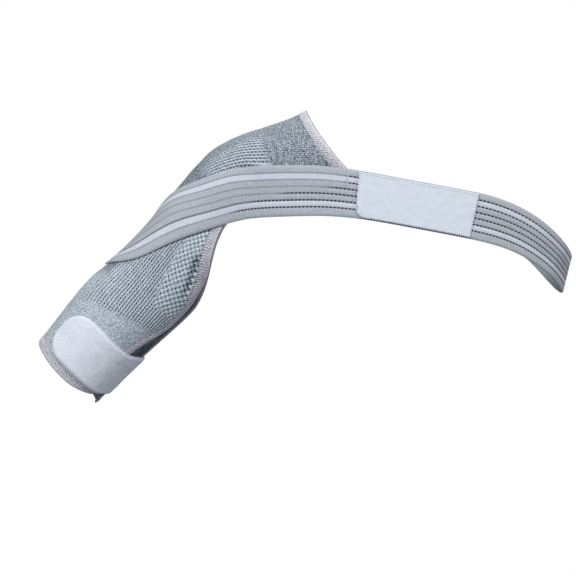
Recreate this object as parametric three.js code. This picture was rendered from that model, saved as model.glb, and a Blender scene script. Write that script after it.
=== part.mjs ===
// Knitted shoulder brace, in millimetres, +Z up, the wearer's front towards -Y.
// The origin lies on the inside of the sleeve, on top of the shoulder.
// The sleeve wraps the arm, which hangs out at 45 degrees towards -X and -Z.

import * as THREE from "three";
import { mergeVertices } from "three/addons/utils/BufferGeometryUtils.js";

// Sleeve sizes
const sleeve_length = 390;
const shoulder_from_hem = 315.5;
const arm_width = 102;
const arm_depth = 104;
const knit_wall = 2.5;
const neck_lean = 19.5;
const hem_rise = 8;
const hem_rise_from = 100;
const hem_rise_to = 145;
const hem_rise_curve = 1.5;
const hem_lean = 4.5;
const arm_slope = 45;

// Bound edges
const binding_width = 9.5;
const binding_proud = 0.5;
const cloth_gap = 0.3;

// Strap, which runs from the back of the arm over the front, round the chest and back to the shoulder blade
const strap_width = 50;
const strap_thickness = 1.8;
const chest_reach = 366;
const chest_depth = 95;
const chest_edge = 32;
const chest_centre = 200;
const chest_flattening = 18;
const chest_squareness = 2.3;
const chest_taper = 5;
const back_rise = 20;
const strap_end_overlap = 12;

// Hook-and-loop patch on the front of the strap
const patch_length = 121;
const patch_width = 47.5;
const patch_thickness = 1.6;
const patch_from_shoulder = 127;
const patch_corner = 9;

// Tab that closes the sleeve round the arm
const tab_width = 56;
const tab_thickness = 3;
const tab_end_bearing = 44;
const tab_root_bearing = 190;
const tab_tip_angle = 12;

// Crease beside the armpit
const crease_depth = 2.2;
const crease_width = 9;
const crease_reach = 0.6;
const crease_from = { along: 0.482, bearing: 104 };
const crease_to = { along: 0.437, bearing: 136 };

// Fineness of the facets
const sleeve_steps_along = 36;
const sleeve_steps_round = 34;
const strap_steps_along = 104;
const strap_steps_across = 6;
const patch_steps_along = 14;
const patch_corner_steps = 3;
const tab_end_steps = 7;
const tab_steps_round = 20;
const tab_steps_across = 6;
const edge_rounds = 4;

// Sections of the sleeve, across the arm's line. Along is a share of the sleeve's length from the hem.
// Crown, middle and inner are shares of the arm's width, and depth is a share of the arm's depth.
const sections = [
  { along: 0.0, crown: -0.03, middle: -0.477, inner: 0.452, depth: 0.455, squareness: 2.1 },
  { along: 0.077, crown: 0.003, middle: -0.477, inner: 0.45, depth: 0.476, squareness: 2.1 },
  { along: 0.162, crown: 0.045, middle: -0.466, inner: 0.465, depth: 0.497, squareness: 2.1 },
  { along: 0.246, crown: 0.065, middle: -0.461, inner: 0.485, depth: 0.497, squareness: 2.2 },
  { along: 0.314, crown: 0.032, middle: -0.471, inner: 0.49, depth: 0.497, squareness: 2.2 },
  { along: 0.376, crown: 0.015, middle: -0.477, inner: 0.496, depth: 0.508, squareness: 2.3 },
  { along: 0.472, crown: 0.024, middle: -0.487, inner: 0.496, depth: 0.55, squareness: 2.5 },
  { along: 0.537, crown: 0.062, middle: -0.52, inner: 0.496, depth: 0.582, squareness: 2.6 },
  { along: 0.613, crown: 0.089, middle: -0.574, inner: 0.518, depth: 0.613, squareness: 2.7 },
  { along: 0.683, crown: 0.106, middle: -0.638, inner: 0.539, depth: 0.656, squareness: 2.7 },
  { along: 0.737, crown: 0.102, middle: -0.714, inner: 0.561, depth: 0.688, squareness: 2.7 },
  { along: 0.816, crown: 0.008, middle: -0.876, inner: 0.561, depth: 0.751, squareness: 2.7 },
  { along: 0.881, crown: -0.116, middle: -1.016, inner: 0.561, depth: 0.804, squareness: 2.6 },
  { along: 0.947, crown: -0.24, middle: -1.091, inner: 0.561, depth: 0.846, squareness: 2.5 },
  { along: 1.0, crown: -0.31, middle: -1.113, inner: 0.561, depth: 0.867, squareness: 2.5 },
];

// Bearings, in degrees round from the outer side, at which the front and back of the wrap end
const wrap_edges = [
  { along: 0.0, front: 143, back: 182 },
  { along: 0.1, front: 141, back: 182 },
  { along: 0.176, front: 141.5, back: 182 },
  { along: 0.225, front: 146, back: 182 },
  { along: 0.298, front: 158, back: 180 },
  { along: 0.369, front: 154, back: 168 },
  { along: 0.418, front: 145, back: 148 },
  { along: 0.471, front: 134, back: 128 },
  { along: 0.521, front: 116.5, back: 110 },
  { along: 0.565, front: 102.5, back: 96 },
  { along: 0.606, front: 93, back: 87 },
  { along: 0.663, front: 89, back: 84 },
  { along: 0.8, front: 90, back: 86 },
  { along: 1.0, front: 90, back: 88 },
];

// Stations of the strap on the sleeve. Along and bearing place its upper edge. Down and round are the shares
// of the strap's width by which its lower edge lies further down the arm and further round it.
const strap_on_sleeve = [
  { along: 0.328, bearing: -34, down: 0.3, round: 0.64 },
  { along: 0.366, bearing: -22, down: 0.37, round: 0.93 },
  { along: 0.408, bearing: -12, down: 0.4, round: 1.12 },
  { along: 0.456, bearing: -3, down: 0.38, round: 1.15 },
  { along: 0.503, bearing: 7, down: 0.34, round: 1.11 },
  { along: 0.549, bearing: 18, down: 0.3, round: 1.06 },
  { along: 0.599, bearing: 34.5, down: 0.33, round: 0.89 },
  { along: 0.633, bearing: 43.5, down: 0.34, round: 0.8 },
  { along: 0.66, bearing: 48.3, down: 0.38, round: 0.77 },
  { along: 0.706, bearing: 54.4, down: 0.48, round: 0.74 },
  { along: 0.75, bearing: 58.9, down: 0.57, round: 0.76 },
];

// Stations of the strap round the chest. Across and height place its upper edge, as shares of the chest's
// reach. Lean is how far the lower edge swings sideways, in degrees, and share is of the strap's width.
// Rise is how much higher the strap runs there on the back, as a share of its rise.
const strap_on_chest = [
  { across: 0.087, height: -0.096, lean: 6, share: 1.09, rise: 0.6 },
  { across: 0.208, height: -0.096, lean: 0, share: 1.07, rise: 0.6 },
  { across: 0.303, height: -0.104, lean: 0, share: 1.01, rise: 0.6 },
  { across: 0.451, height: -0.133, lean: -11, share: 0.97, rise: 0.62 },
  { across: 0.574, height: -0.156, lean: -11, share: 0.97, rise: 0.64 },
  { across: 0.683, height: -0.175, lean: -12, share: 0.98, rise: 0.7 },
  { across: 0.761, height: -0.193, lean: -13, share: 0.97, rise: 0.82 },
  { across: 0.843, height: -0.23, lean: -24, share: 0.9, rise: 0.95 },
  { across: 0.903, height: -0.268, lean: -31, share: 0.85, rise: 1.0 },
  { across: 0.952, height: -0.311, lean: -35, share: 0.77, rise: 0.9 },
  { across: 0.986, height: -0.343, lean: -30, share: 0.76, rise: 0.6 },
  { across: 1.0, height: -0.36, lean: -6, share: 0.95, rise: 0.0 },
];

// Middle line of the tab along the arm, as a share of its width, from its free end to its root
const tab_shape = [
  { bearing: 40, middle: 0.64 },
  { bearing: 75, middle: 0.69 },
  { bearing: 137, middle: 0.69 },
  { bearing: 160, middle: 0.77 },
  { bearing: 190, middle: 0.8 },
];

const radians = THREE.MathUtils.degToRad;

// A smooth curve through one column of a table
function follow(rows, by, column, at) {
  const last = rows.length - 1;
  const place = THREE.MathUtils.clamp(at, rows[0][by], rows[last][by]);
  let i = 0;
  while (i < last - 1 && place > rows[i + 1][by]) i += 1;
  const steepness = (k) => {
    const before = rows[Math.max(k - 1, 0)];
    const after = rows[Math.min(k + 1, last)];
    return (after[column] - before[column]) / (after[by] - before[by]);
  };
  const run = rows[i + 1][by] - rows[i][by];
  const t = (place - rows[i][by]) / run;
  const start = rows[i][column] * (2 * t ** 3 - 3 * t ** 2 + 1) + steepness(i) * run * (t ** 3 - 2 * t ** 2 + t);
  const end = rows[i + 1][column] * (3 * t ** 2 - 2 * t ** 3) + steepness(i + 1) * run * (t ** 3 - t ** 2);
  return start + end;
}

// The size of the section at a distance from the hem
function section(along) {
  const share = along / sleeve_length;
  const read = (column) => follow(sections, "along", column, share);
  const middle = read("middle") * arm_width;
  return {
    middle,
    outer: read("crown") * arm_width - middle,
    inner: read("inner") * arm_width,
    depth: read("depth") * arm_depth,
    squareness: read("squareness"),
  };
}

function edge_bearing(along, side) {
  return follow(wrap_edges, "along", side, along / sleeve_length);
}

// From the arm's own directions to the part's frame
function from_arm(along, outward, y) {
  const run = along - shoulder_from_hem;
  const c = Math.cos(radians(arm_slope));
  const s = Math.sin(radians(arm_slope));
  return new THREE.Vector3(run * c - outward * s, y, run * s + outward * c);
}

function to_arm(point) {
  const c = Math.cos(radians(arm_slope));
  const s = Math.sin(radians(arm_slope));
  return {
    along: point.x * c + point.z * s + shoulder_from_hem,
    outward: point.z * c - point.x * s,
  };
}

function crease(along, bearing) {
  const t = (bearing - crease_from.bearing) / (crease_to.bearing - crease_from.bearing);
  const line = THREE.MathUtils.lerp(crease_from.along, crease_to.along, t) * sleeve_length;
  const fade = Math.exp(-(((t - 0.5) / crease_reach) ** 4));
  return crease_depth * fade * Math.exp(-(((along - line) / crease_width) ** 2));
}

// A point on the sleeve's outer face, raised by lift. Positive bearings go round by the front.
function sleeve_point(along, bearing, lift) {
  const size = section(along);
  const c = Math.cos(radians(bearing));
  const s = Math.sin(radians(bearing));
  const square = (Math.abs(c) ** size.squareness + Math.abs(s) ** size.squareness) ** (1 / size.squareness);
  const raised = lift - crease(along, bearing);
  const reach = (c > 0 ? size.outer : size.inner) + raised;
  const depth = size.depth + raised;
  return from_arm(along, size.middle + (reach * c) / square, (-depth * s) / square);
}

// A point pushed straight out from the arm's middle line until it clears the sleeve
function clear_of_sleeve(point, clearance) {
  const place = to_arm(point);
  if (place.along > sleeve_length + binding_width) return point;
  const size = section(place.along);
  const off = place.outward - size.middle;
  const reach = (off > 0 ? size.outer : size.inner) + clearance;
  const depth = size.depth + clearance;
  const p = size.squareness;
  const inside = (Math.abs(off / reach) ** p + Math.abs(point.y / depth) ** p) ** (1 / p);
  if (inside >= 1) return point;
  return from_arm(place.along, size.middle + off / inside, point.y / inside);
}

// Where the hem and the neck edge lie, at a bearing
function hem_line(bearing) {
  const t = THREE.MathUtils.clamp((bearing - hem_rise_from) / (hem_rise_to - hem_rise_from), 0, 1);
  const outer_side = Math.max(Math.cos(radians(bearing)), 0);
  return hem_rise * t ** hem_rise_curve + hem_lean * outer_side ** 2;
}

function neck_line(bearing) {
  return sleeve_length - neck_lean * Math.sin(radians(bearing)) ** 2;
}

// How many degrees a width takes up, measured square to the wrap's edge
function width_in_degrees(along, side, width) {
  const sign = side === "front" ? 1 : -1;
  const bearing = sign * edge_bearing(along, side);
  const step = 0.5;
  const turn = sleeve_point(along, bearing - step, 0).distanceTo(sleeve_point(along, bearing + step, 0));
  const per_degree = turn / (2 * step);
  const slide = per_degree * (edge_bearing(along + step, side) - edge_bearing(along - step, side)) / (2 * step);
  return (width * Math.hypot(1, slide)) / per_degree;
}

// A closed solid between two grids of points
function solid_between(rows, columns, outer_point, inner_point) {
  const positions = [];
  for (const face of [outer_point, inner_point]) {
    for (let i = 0; i <= rows; i += 1) {
      for (let j = 0; j <= columns; j += 1) {
        const p = face(i, j);
        positions.push(p.x, p.y, p.z);
      }
    }
  }
  const across = columns + 1;
  const inner_start = (rows + 1) * across;
  const index = [];
  const quad = (a, b, c, d) => index.push(a, b, c, a, c, d);
  for (let i = 0; i < rows; i += 1) {
    for (let j = 0; j < columns; j += 1) {
      const a = i * across + j;
      quad(a, a + 1, a + across + 1, a + across);
      quad(inner_start + a, inner_start + a + across, inner_start + a + across + 1, inner_start + a + 1);
    }
  }
  for (let i = 0; i < rows; i += 1) {
    const left = i * across;
    const right = left + columns;
    quad(left, left + across, inner_start + left + across, inner_start + left);
    quad(right + across, right, inner_start + right, inner_start + right + across);
  }
  const last_row = rows * across;
  for (let j = 0; j < columns; j += 1) {
    quad(j + 1, j, inner_start + j, inner_start + j + 1);
    quad(last_row + j, last_row + j + 1, inner_start + last_row + j + 1, inner_start + last_row + j);
  }
  const geometry = new THREE.BufferGeometry();
  geometry.setAttribute("position", new THREE.Float32BufferAttribute(positions, 3));
  geometry.setIndex(index);
  return faces_out(mergeVertices(geometry, 1e-3));
}

// The same solid with its faces turned out, by the sign of its volume
function faces_out(geometry) {
  const index = geometry.index;
  const points = geometry.getAttribute("position");
  const corner = [new THREE.Vector3(), new THREE.Vector3(), new THREE.Vector3()];
  let volume = 0;
  for (let i = 0; i < index.count; i += 3) {
    corner.forEach((v, k) => v.fromBufferAttribute(points, index.getX(i + k)));
    volume += corner[0].dot(corner[1].clone().cross(corner[2]));
  }
  if (volume < 0) {
    for (let i = 0; i < index.count; i += 3) {
      const second = index.getX(i + 1);
      index.setX(i + 1, index.getX(i + 2));
      index.setX(i + 2, second);
    }
  }
  geometry.computeVertexNormals();
  return geometry;
}

const inset = binding_width + cloth_gap;

// Evenly spread places along the sleeve between its two end bindings, at a share across the wrap
function panel_place(i, bearing) {
  const start = hem_line(bearing) + inset;
  const end = neck_line(bearing) - inset;
  return THREE.MathUtils.lerp(start, end, i / sleeve_steps_along);
}

// The bearing of the wrap's edge at a place between the end bindings, and of a line in from it by a width
function wrap_end(i, side, width) {
  const sign = side === "front" ? 1 : -1;
  let along = panel_place(i, 0);
  let edge = 0;
  for (let k = 0; k < edge_rounds; k += 1) {
    edge = edge_bearing(along, side);
    along = panel_place(i, sign * edge);
  }
  return { edge, inside: edge - width_in_degrees(along, side, width) };
}

function knit_sleeve() {
  const face = (lift) => (i, j) => {
    const front = wrap_end(i, "front", inset).inside;
    const back = wrap_end(i, "back", inset).inside;
    const bearing = THREE.MathUtils.lerp(-back, front, j / sleeve_steps_round);
    return sleeve_point(panel_place(i, bearing), bearing, lift);
  };
  return solid_between(sleeve_steps_along, sleeve_steps_round, face(0), face(-knit_wall));
}

function side_binding(side) {
  const sign = side === "front" ? 1 : -1;
  const face = (lift) => (i, j) => {
    const { edge, inside } = wrap_end(i, side, binding_width);
    const bearing = sign * THREE.MathUtils.lerp(inside, edge, j);
    return sleeve_point(panel_place(i, bearing), bearing, lift);
  };
  return solid_between(sleeve_steps_along, 1, face(binding_proud), face(-knit_wall - binding_proud));
}

function end_binding(line, direction) {
  const along_edge = line(0);
  const front = edge_bearing(along_edge, "front");
  const back = edge_bearing(along_edge, "back");
  const face = (lift) => (i, j) => {
    const bearing = THREE.MathUtils.lerp(-back, front, i / sleeve_steps_round);
    return sleeve_point(line(bearing) + direction * j * binding_width, bearing, lift);
  };
  return solid_between(sleeve_steps_round, 1, face(binding_proud), face(-knit_wall - binding_proud));
}

// Depth of the chest in front of the arm's plane, where the strap lies on it
function chest_front(across, reach) {
  if (across < chest_centre) {
    return chest_depth - chest_flattening * ((chest_centre - across) / (chest_centre - chest_edge)) ** 2;
  }
  const share = Math.min((across - chest_centre) / (reach - chest_centre), 1);
  return chest_depth * (1 - share ** chest_squareness) ** (1 / chest_squareness);
}

function strap_edges() {
  const upper = [];
  const lower = [];
  const lift = binding_proud + cloth_gap;
  for (const row of strap_on_sleeve) {
    const along = row.along * sleeve_length;
    const round = THREE.MathUtils.radToDeg((row.round * strap_width) / (arm_width / 2));
    upper.push(sleeve_point(along, row.bearing, lift));
    lower.push(sleeve_point(along - row.down * strap_width, row.bearing + round, lift));
  }
  const chest_station = (row, side) => {
    const x = row.across * chest_reach;
    const z = row.height * chest_reach;
    const width = row.share * strap_width;
    const low_x = x + width * Math.sin(radians(row.lean));
    const low_z = z - width * Math.cos(radians(row.lean));
    const y = chest_front(x, chest_reach);
    const low_y = chest_front(low_x, chest_reach - chest_taper);
    const rise = side > 0 ? back_rise * row.rise : 0;
    upper.push(new THREE.Vector3(x, side * y, z + rise));
    lower.push(new THREE.Vector3(low_x, side * low_y, low_z + rise));
  };
  for (const row of strap_on_chest) chest_station(row, -1);
  for (const row of strap_on_chest.slice(0, -1).reverse()) chest_station(row, 1);
  const last = strap_on_chest[0];
  chest_station({ ...last, across: last.across - strap_end_overlap / chest_reach }, 1);
  return { upper: new THREE.CatmullRomCurve3(upper), lower: new THREE.CatmullRomCurve3(lower) };
}

const edges = strap_edges();

function strap_surface(u, v) {
  const point = edges.upper.getPoint(u).lerp(edges.lower.getPoint(u), v);
  return clear_of_sleeve(point, binding_proud + cloth_gap);
}

// A point over the strap, raised square to it
function strap_point(u, v, lift) {
  const step = 0.004;
  const side_step = 0.05;
  const u0 = Math.max(u - step, 0);
  const u1 = Math.min(u + step, 1);
  const v0 = Math.max(v - side_step, 0);
  const v1 = Math.min(v + side_step, 1);
  const along = strap_surface(u1, v).sub(strap_surface(u0, v));
  const down = strap_surface(u, v1).sub(strap_surface(u, v0));
  const out = down.cross(along).normalize();
  return strap_surface(u, v).addScaledVector(out, lift);
}

function chest_strap() {
  const face = (lift) => (i, j) => strap_point(i / strap_steps_along, j / strap_steps_across, lift);
  return solid_between(strap_steps_along, strap_steps_across, face(strap_thickness), face(0));
}

// The share of the strap's run at which its middle line lies a distance across the front of the chest
function strap_share_at(across) {
  const halvings = 30;
  const stations = strap_on_sleeve.length + 2 * strap_on_chest.length - 1;
  let low = strap_on_sleeve.length / stations;
  let high = (strap_on_sleeve.length + strap_on_chest.length - 2) / stations;
  for (let k = 0; k < halvings; k += 1) {
    const half = (low + high) / 2;
    if (strap_surface(half, 0.5).x < across) low = half;
    else high = half;
  }
  return low;
}

// How far from the patch's rounded end a row of its points lies
function patch_run(i) {
  const first_step = 0.2;
  if (i < patch_corner_steps) {
    const turned = (i + first_step) / (patch_corner_steps + first_step);
    return patch_corner * (1 - Math.cos(radians(90 * turned)));
  }
  const share = (i - patch_corner_steps) / (patch_steps_along - patch_corner_steps);
  return THREE.MathUtils.lerp(patch_corner, patch_length, share);
}

function closure_patch() {
  const start = strap_share_at(patch_from_shoulder);
  const end = strap_share_at(patch_from_shoulder + patch_length);
  const margin = (strap_width - patch_width) / (2 * strap_width);
  const bottom = strap_thickness + cloth_gap;
  const face = (lift) => (i, j) => {
    const run = patch_run(i);
    const cut = patch_corner - Math.sqrt(patch_corner ** 2 - Math.max(patch_corner - run, 0) ** 2);
    const low = 1 - margin - cut / strap_width;
    const u = THREE.MathUtils.lerp(start, end, run / patch_length);
    const v = THREE.MathUtils.lerp(margin, low, j / strap_steps_across);
    return strap_point(u, v, lift);
  };
  return solid_between(patch_steps_along, strap_steps_across, face(bottom + patch_thickness), face(bottom));
}

function arm_tab() {
  const half = tab_width / 2;
  const lift = binding_proud + cloth_gap;
  const per_degree = radians(arm_width / 2 + lift);
  const round_end = half / per_degree;
  const place = (i) => {
    const turned = Math.min(i / tab_end_steps, 1);
    const quarter = radians(THREE.MathUtils.lerp(tab_tip_angle, 90, turned));
    const straight = Math.max(i - tab_end_steps, 0) / (tab_steps_round - tab_end_steps);
    const from = tab_end_bearing + round_end;
    const bearing = from - round_end * Math.cos(quarter) + straight * (tab_root_bearing - from);
    return { bearing, half_width: half * Math.sin(quarter) };
  };
  const face = (raise) => (i, j) => {
    const { bearing, half_width } = place(i);
    const middle = follow(tab_shape, "bearing", "middle", bearing) * tab_width;
    const along = middle + half_width * ((2 * j) / tab_steps_across - 1);
    return sleeve_point(along, bearing, raise);
  };
  return solid_between(tab_steps_round, tab_steps_across, face(lift + tab_thickness), face(lift));
}

const finishes = {
  knit: new THREE.MeshStandardMaterial({ color: 0xa6b0ba, roughness: 0.9, metalness: 0 }),
  binding: new THREE.MeshStandardMaterial({ color: 0xb4b4bd, roughness: 0.8, metalness: 0 }),
  webbing: new THREE.MeshStandardMaterial({ color: 0xb0b6c0, roughness: 0.75, metalness: 0 }),
  patch: new THREE.MeshStandardMaterial({ color: 0xd2dbe7, roughness: 0.85, metalness: 0 }),
  fleece: new THREE.MeshStandardMaterial({ color: 0xd8dee9, roughness: 0.95, metalness: 0 }),
};

const brace = new THREE.Group();

function add_piece(name, geometry, finish) {
  const piece = new THREE.Mesh(geometry, finish.clone());
  piece.name = name;
  brace.add(piece);
}

add_piece("knit_sleeve", knit_sleeve(), finishes.knit);
add_piece("neck_binding", end_binding(neck_line, -1), finishes.binding);
add_piece("hem_binding", end_binding(hem_line, 1), finishes.binding);
add_piece("front_binding", side_binding("front"), finishes.binding);
add_piece("back_binding", side_binding("back"), finishes.binding);
add_piece("chest_strap", chest_strap(), finishes.webbing);
add_piece("closure_patch", closure_patch(), finishes.patch);
add_piece("arm_tab", arm_tab(), finishes.fleece);

export default brace;
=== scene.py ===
# Looks of the knitted shoulder brace: its knit, bound edges, striped strap, patch and tab.
# Sizes are in millimetres, and meshes are made in metres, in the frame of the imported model.

import math

import bmesh
import bpy
import numpy as np
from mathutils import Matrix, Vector, noise


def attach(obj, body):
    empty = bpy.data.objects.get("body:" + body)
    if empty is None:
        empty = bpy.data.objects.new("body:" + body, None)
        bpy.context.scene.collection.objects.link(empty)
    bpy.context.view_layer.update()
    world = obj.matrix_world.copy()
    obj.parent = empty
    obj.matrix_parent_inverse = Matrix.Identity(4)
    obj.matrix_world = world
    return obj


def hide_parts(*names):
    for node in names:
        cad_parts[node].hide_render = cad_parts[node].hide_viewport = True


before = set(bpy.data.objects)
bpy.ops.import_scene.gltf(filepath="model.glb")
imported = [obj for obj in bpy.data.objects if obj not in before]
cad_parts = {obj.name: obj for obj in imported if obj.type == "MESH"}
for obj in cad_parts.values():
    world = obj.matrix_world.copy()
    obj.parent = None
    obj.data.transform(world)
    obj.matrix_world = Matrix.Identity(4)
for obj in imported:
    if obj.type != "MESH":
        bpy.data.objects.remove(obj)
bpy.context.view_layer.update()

MM = 0.001

# Sleeve sizes
SLEEVE_LENGTH = 390
SLEEVE_ROUND = 280
SHOULDER_FROM_HEM = 315.5
ARM_WIDTH = 102
ARM_DEPTH = 104
KNIT_WALL = 2.5
NECK_LEAN = 19.5
HEM_RISE = 8
HEM_RISE_FROM, HEM_RISE_TO = 100, 145
HEM_RISE_CURVE = 1.5
HEM_LEAN = 4.5
ARM_SLOPE = math.radians(45)

# Bound edges
BINDING_WIDTH = 9.5
BINDING_PROUD = 0.5
CLOTH_GAP = 0.3
INSET = BINDING_WIDTH + CLOTH_GAP
BINDING_STITCH = 3.3
BINDING_STEP = 0.6
BINDING_SIDES = 36
END_LENGTH, SIDE_LENGTH = 290, 400
STITCHED_PART = (0.62, 0.8)

# Strap
STRAP_WIDTH = 50
STRAP_THICKNESS = 1.8
CHEST_REACH = 366
CHEST_DEPTH = 95
CHEST_EDGE = 32
CHEST_CENTRE = 200
CHEST_FLATTENING = 18
CHEST_SQUARENESS = 2.3
CHEST_TAPER = 5
BACK_RISE = 20
STRAP_END_OVERLAP = 12
BAR_TACK_ACROSS = 116
BAR_TACK_WIDTH = 2.8
BAR_TACK_TOP, BAR_TACK_BOTTOM, BAR_TACK_PITCH = 0.03, 0.34, 0.024
BAR_TACK_RADIUS = 0.3
THREAD_SUNK = 0.1
STRAP_STEPS = 1080
STRAP_SOFTENING = (-0.8, -0.4, 0.0, 0.4, 0.8)

# Patch on the strap
PATCH_LENGTH = 121
PATCH_WIDTH = 47.5
PATCH_THICKNESS = 1.6
PATCH_FROM_SHOULDER = 127
PATCH_CORNER = 9
PATCH_STITCH, PATCH_STITCH_PITCH = 3.2, 2.6
PATCH_THREAD_RADIUS, PATCH_THREAD_SUNK = 0.5, 0.4
PATCH_STEPS, PATCH_COLUMNS = 160, 60

# Tab round the arm
TAB_WIDTH = 56
TAB_THICKNESS = 3
TAB_END_BEARING = 44
TAB_ROOT_BEARING = 190
TAB_TIP_ANGLE = 12
TAB_ROUND_SHARE = 0.34
TAB_STEPS, TAB_COLUMNS = 240, 72

# Crease beside the armpit
CREASE_DEPTH = 2.2
CREASE_WIDTH = 9
CREASE_REACH = 0.6
CREASE_FROM, CREASE_TO = 104, 136
CREASE_START, CREASE_END = 0.482, 0.437

# Fine outer faces have this many steps to each step of the hidden inner faces
FINE_TO_COARSE = 4


def table(columns, rows):
    """A table as one array for each named column."""
    return dict(zip(columns.split(), np.array(rows, float).T))


# Sections of the sleeve. Along is a share of its length from the hem, the rest are of the arm's sizes.
SECTIONS = table("along crown middle inner depth squareness", [
    (0.0, -0.03, -0.477, 0.452, 0.455, 2.1),
    (0.077, 0.003, -0.477, 0.45, 0.476, 2.1),
    (0.162, 0.045, -0.466, 0.465, 0.497, 2.1),
    (0.246, 0.065, -0.461, 0.485, 0.497, 2.2),
    (0.314, 0.032, -0.471, 0.49, 0.497, 2.2),
    (0.376, 0.015, -0.477, 0.496, 0.508, 2.3),
    (0.472, 0.024, -0.487, 0.496, 0.55, 2.5),
    (0.537, 0.062, -0.52, 0.496, 0.582, 2.6),
    (0.613, 0.089, -0.574, 0.518, 0.613, 2.7),
    (0.683, 0.106, -0.638, 0.539, 0.656, 2.7),
    (0.737, 0.102, -0.714, 0.561, 0.688, 2.7),
    (0.816, 0.008, -0.876, 0.561, 0.751, 2.7),
    (0.881, -0.116, -1.016, 0.561, 0.804, 2.6),
    (0.947, -0.24, -1.091, 0.561, 0.846, 2.5),
    (1.0, -0.31, -1.113, 0.561, 0.867, 2.5),
])

# Bearings, in degrees round from the outer side, at which the wrap ends
WRAP_EDGES = table("along front back", [
    (0.0, 143, 182), (0.1, 141, 182), (0.176, 141.5, 182), (0.225, 146, 182), (0.298, 158, 180),
    (0.369, 154, 168), (0.418, 145, 148), (0.471, 134, 128), (0.521, 116.5, 110), (0.565, 102.5, 96),
    (0.606, 93, 87), (0.663, 89, 84), (0.8, 90, 86), (1.0, 90, 88),
])

# Strap on the sleeve: its upper edge, and how far down and round its lower edge lies, in strap widths
STRAP_ON_SLEEVE = table("along bearing down round", [
    (0.328, -34, 0.3, 0.64), (0.366, -22, 0.37, 0.93), (0.408, -12, 0.4, 1.12), (0.456, -3, 0.38, 1.15),
    (0.503, 7, 0.34, 1.11), (0.549, 18, 0.3, 1.06), (0.599, 34.5, 0.33, 0.89), (0.633, 43.5, 0.34, 0.8),
    (0.66, 48.3, 0.38, 0.77), (0.706, 54.4, 0.48, 0.74), (0.75, 58.9, 0.57, 0.76),
])

# Strap round the chest: its upper edge in shares of the reach, its lean, share of width and rise behind
STRAP_ON_CHEST = table("across height lean share rise", [
    (0.087, -0.096, 6, 1.09, 0.6), (0.208, -0.096, 0, 1.07, 0.6), (0.303, -0.104, 0, 1.01, 0.6),
    (0.451, -0.133, -11, 0.97, 0.62), (0.574, -0.156, -11, 0.97, 0.64), (0.683, -0.175, -12, 0.98, 0.7),
    (0.761, -0.193, -13, 0.97, 0.82), (0.843, -0.23, -24, 0.9, 0.95), (0.903, -0.268, -31, 0.85, 1.0),
    (0.952, -0.311, -35, 0.77, 0.9), (0.986, -0.343, -30, 0.76, 0.6), (1.0, -0.36, -6, 0.95, 0.0),
])

# Middle line of the tab, as a share of its width
TAB_SHAPE = table("bearing middle", [(40, 0.64), (75, 0.69), (137, 0.69), (160, 0.77), (190, 0.8)])

# Knit patterns: where the honeycomb starts, where the ribs end above the tab, how the ribs slant
HONEYCOMB_EDGE = table("along bearing", [
    (110, 113), (123, 108.6), (142, 101), (157, 93.7), (176, 87.8), (194, 81), (208, 76.3), (240, 68),
])
RIB_ENDS = table("bearing along", [
    (20, 70), (44, 74), (60, 81), (80, 87.4), (98, 92), (118, 97.5), (140, 102),
])
RIB_SLANT = table("bearing slant", [(30, 0.05), (55, 0.1), (90, 0.15), (115, 0.12), (140, 0.0)])

# Fold beside the front binding: its line, and the bearings over which it starts and ends
FOLD_LINE = table("bearing along", [
    (104, 194), (108, 190), (115, 180), (121, 169), (126, 161), (132, 150),
])
FOLD_STARTS, FOLD_ENDS = (102, 108), (124, 134)
FOLD_DEPTH = 2.0
FOLD_WIDTH = 7.5

# Zones of the knit, each as the distances from the hem or the bearings over which it comes in or fades
HONEYCOMB_LOW, HONEYCOMB_HIGH = (118, 132), (250, 262)
RIB_ROUND, RIB_HIGH = (30, 44), (236, 250)
DASH_ROUND, DASH_LOW = (34, 42), (258, 268)
DASH_HIGH, DASH_HIGH_AT, DASH_HIGH_SLANT = 330, 45, 0.62

# Pitches and heights of the knit's patterns
RIB_PITCH = 3.3
RIB_STITCH = 3.4
HONEYCOMB_ROUND, HONEYCOMB_ALONG, HONEYCOMB_SLANT = 5.8, 6.8, 0.22
DASH_ROW, DASH_PITCH = 3.6, 3.4
HONEYCOMB_RELIEF, RIB_RELIEF, DASH_RELIEF = 0.6, 0.3, 0.2
SOFT_RELIEF, SOFT_LUMP = 0.25, 14.0
KNIT_STEPS = 296
KNIT_COLUMNS = 280

# Lines of ladder stitches across the strap, and how far from the shoulder each begins to open
LADDER = table("across opens_at", [
    (0.152, 121), (0.286, 121), (0.42, 103), (0.55, 55), (0.685, 22), (0.82, 4),
])
LADDER_PITCH = 4.2
LADDER_WIDTH = 0.95
LADDER_DEPTH = 0.6

# Lines of the strap's mesh: off each ladder line in millimetres, and as shares of the strap's width
NEAR_LADDER = (-1.1, -0.55, 0.0, 0.55, 1.1)
STRAP_MARKS = (
    0.0, 0.012, 0.03, 0.07, 0.11, 0.22, 0.35, 0.486, 0.618, 0.752, 0.86, 0.9, 0.93, 0.96, 0.985,
)

# Pale stripes across the strap, as shares of its width
STRIPES = [(0.168, 0.273), (0.705, 0.808)]
STRIPE_BLUR = 0.005


def follow(rows, by, column, at):
    """A smooth curve through one column of a table."""
    x, y = rows[by], rows[column]
    last = len(x) - 1
    at = np.clip(np.asarray(at, float), x[0], x[last])
    i = np.clip(np.searchsorted(x, at) - 1, 0, last - 1)
    k = np.arange(last + 1)
    before, after = np.maximum(k - 1, 0), np.minimum(k + 1, last)
    steepness = (y[after] - y[before]) / (x[after] - x[before])
    run = x[i + 1] - x[i]
    t = (at - x[i]) / run
    start = y[i] * (2 * t**3 - 3 * t**2 + 1) + steepness[i] * run * (t**3 - 2 * t**2 + t)
    return start + y[i + 1] * (3 * t**2 - 2 * t**3) + steepness[i + 1] * run * (t**3 - t**2)


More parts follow.
